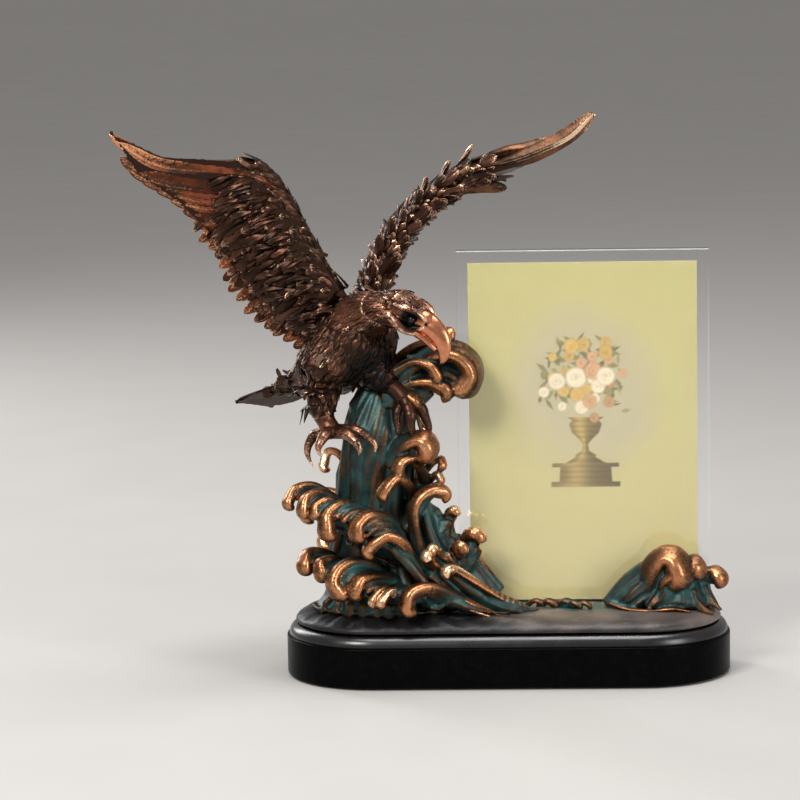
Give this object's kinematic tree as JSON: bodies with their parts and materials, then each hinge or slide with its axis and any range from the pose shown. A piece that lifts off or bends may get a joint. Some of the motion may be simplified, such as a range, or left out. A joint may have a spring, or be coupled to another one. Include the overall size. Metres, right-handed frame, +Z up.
{
  "type": "eagle statuette with photo holder",
  "caption": "Eagle with raised wings landing on a curling wave, bronze finish, on a black moulded plinth with a lift-out clear holder for a portrait print.",
  "frame": {"origin": "middle of the underside of the felt pad, on the surface that the statuette stands on", "axes": "+Z up, +X to the right as seen from the front, along the plinth, +Y to the back"},
  "size_m": [0.2681, 0.1046, 0.2487],
  "materials": {
    "felt": "matt black felt",
    "black_lacquer": "gloss black lacquer",
    "steel": "plain steel",
    "patina_bronze": "plated casting, teal patina in the hollows and rubbed copper on the crests",
    "dark_bronze": "plated casting, dark brown patina with rubbed highlights",
    "copper_bronze": "plated casting, rubbed copper brown",
    "clear_acrylic": "clear polished sheet",
    "print": "satin photo print"
  },
  "bodies": {
    "statuette": {"base_felt": "felt", "plinth": "black_lacquer", "screw_left": "steel", "screw_middle": "steel", "screw_right": "steel", "sea_deck": "patina_bronze", "wave_column": "patina_bronze", "wave_crest": "patina_bronze", "upper_breaker": "patina_bronze", "lower_breaker": "patina_bronze", "flank_breaker": "patina_bronze", "small_breaker": "patina_bronze", "ripple_left": "patina_bronze", "ripple_right": "patina_bronze", "eagle_body": "dark_bronze", "eagle_head": "copper_bronze", "right_wing": "dark_bronze", "left_wing": "dark_bronze", "tail_fan": "copper_bronze", "right_foot": "copper_bronze", "left_foot": "copper_bronze", "right_wing_pin": "steel", "left_wing_pin": "steel", "tail_pin": "steel", "body_pin": "steel"},
    "photo_sleeve": {"sleeve_front": "clear_acrylic", "sleeve_rear": "clear_acrylic", "sleeve_left_strip": "clear_acrylic", "sleeve_right_strip": "clear_acrylic", "sleeve_bottom_strip": "clear_acrylic"},
    "photo_card": {"photo_print": "print"}
  },
  "joints": [
    {"name": "sleeve_lift", "type": "slide", "parent": "statuette", "child": "photo_sleeve", "axis": [0, 0, 1], "range_m": [0, 0.235]},
    {"name": "print_lift", "type": "slide", "parent": "photo_sleeve", "child": "photo_card", "axis": [0, 0, 1], "range_m": [0, 0.162]}
  ]
}
